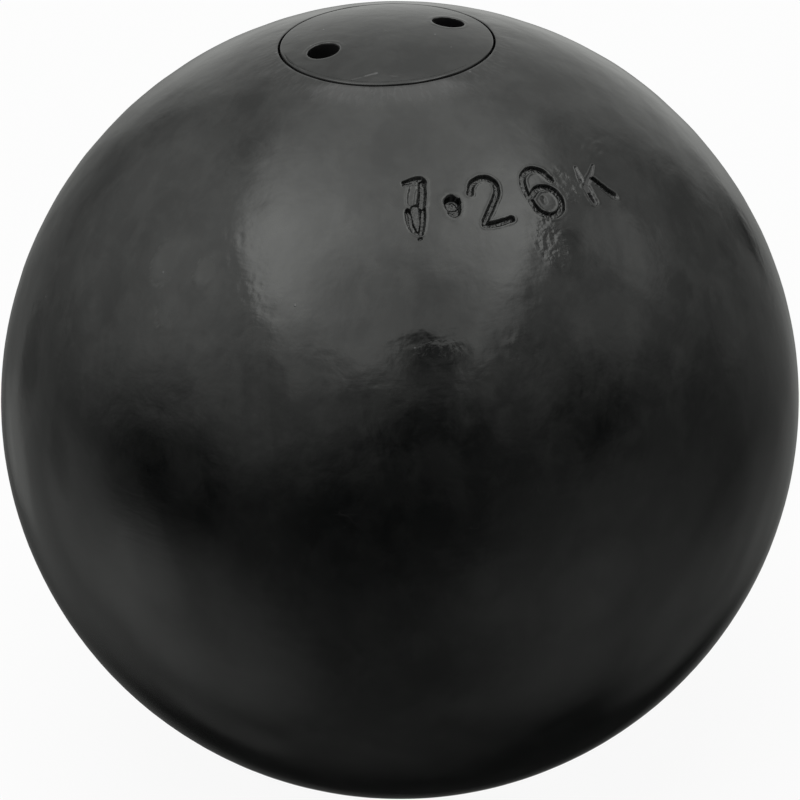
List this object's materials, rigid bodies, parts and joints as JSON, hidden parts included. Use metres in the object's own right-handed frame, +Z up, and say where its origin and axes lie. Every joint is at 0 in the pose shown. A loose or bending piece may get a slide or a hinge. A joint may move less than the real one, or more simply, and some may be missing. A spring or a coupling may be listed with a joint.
{
  "type": "shot put",
  "caption": "Round cast-iron throwing shot, painted black, with a stamped weight mark and a flush pin-spanner plug that closes a cavity of lead pellets under felt.",
  "frame": {"origin": "centre of the ball", "axes": "+Z up along the screw plug's axis, -Y towards the side with the weight mark, right-handed"},
  "size_m": [0.125, 0.125, 0.125],
  "materials": {
    "ball_paint": "cast iron under semi-gloss black enamel, faintly orange-peeled, with casting pits",
    "plug_paint": "turned steel under the same black enamel on top, bare and oiled on the thread",
    "copper": "annealed copper, dull",
    "felt": "pressed grey wool felt",
    "lead": "dull grey lead"
  },
  "bodies": {
    "ball": {"ball_shell": "ball_paint", "felt_wad_1": "felt", "felt_wad_2": "felt", "lead_pellet_01": "lead", "lead_pellet_02": "lead", "lead_pellet_03": "lead", "lead_pellet_04": "lead", "lead_pellet_05": "lead", "lead_pellet_06": "lead", "lead_pellet_07": "lead", "lead_pellet_08": "lead", "lead_pellet_09": "lead", "lead_pellet_10": "lead", "lead_pellet_11": "lead", "lead_pellet_12": "lead", "lead_pellet_13": "lead", "lead_pellet_14": "lead", "lead_pellet_15": "lead", "lead_pellet_16": "lead", "lead_pellet_17": "lead", "lead_pellet_18": "lead", "lead_pellet_19": "lead", "lead_pellet_20": "lead", "lead_pellet_21": "lead", "lead_pellet_22": "lead", "lead_pellet_23": "lead", "lead_pellet_24": "lead", "lead_pellet_25": "lead", "lead_pellet_26": "lead", "lead_pellet_27": "lead", "lead_pellet_28": "lead", "lead_pellet_29": "lead", "lead_pellet_30": "lead", "lead_pellet_31": "lead", "lead_pellet_32": "lead", "lead_pellet_33": "lead", "lead_pellet_34": "lead", "lead_pellet_35": "lead"},
    "washer": {"sealing_washer": "copper"},
    "plug": {"screw_plug": "plug_paint"}
  },
  "joints": [
    {"name": "plug_lift", "type": "slide", "parent": "ball", "child": "washer", "axis": [0, 0, 1], "range_m": [0, 0.012]},
    {"name": "plug_turn", "type": "hinge", "parent": "washer", "child": "plug", "pos_m": [0, 0, 0.05402], "axis": [0, 0, 1], "range_deg": [0, 2160]}
  ],
  "couplings": [
    {"joint": "plug_turn", "follows": "plug_lift", "rad_per_m": 3141.6}
  ]
}
